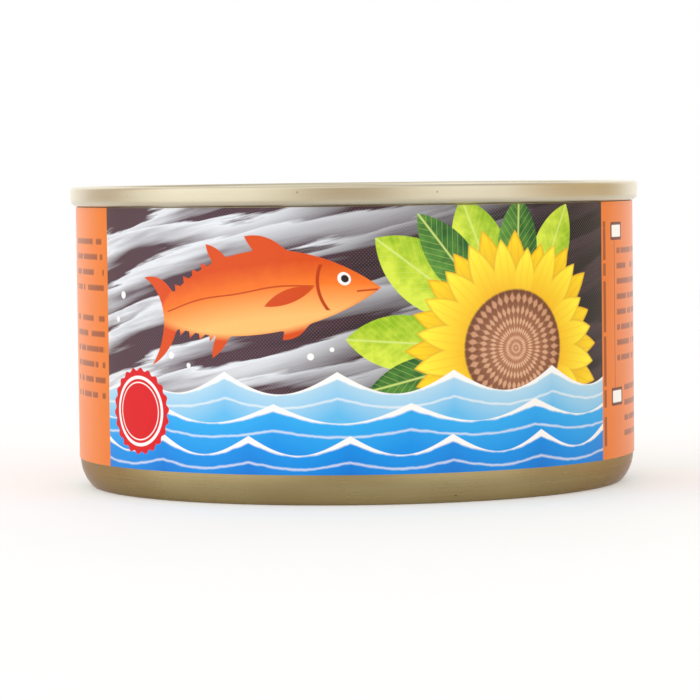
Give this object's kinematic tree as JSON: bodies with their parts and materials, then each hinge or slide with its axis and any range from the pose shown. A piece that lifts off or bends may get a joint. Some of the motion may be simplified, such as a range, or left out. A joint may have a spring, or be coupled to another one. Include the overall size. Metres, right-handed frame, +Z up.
{
  "type": "tuna can",
  "caption": "Shallow round food can, shut, with a drawn body, a lid rolled on with a double seam and a wrapped paper label; stands on its base and stacks.",
  "frame": {"origin": "centre of the standing ring, on the plane that the can rests on", "axes": "+Z up along the can's axis, -Y towards the middle of the label's front"},
  "size_m": [0.0874, 0.0874, 0.046],
  "materials": {
    "body_lacquer": "satin pale gold lacquer on tinplate",
    "lid_lacquer": "satin pale gold lacquer on tinplate",
    "label_paper": "printed paper with a glossy varnish, orange panels beside a plum and blue picture panel"
  },
  "bodies": {
    "root": {"can_body": "body_lacquer", "lid": "lid_lacquer", "label": "label_paper"}
  },
  "joints": []
}
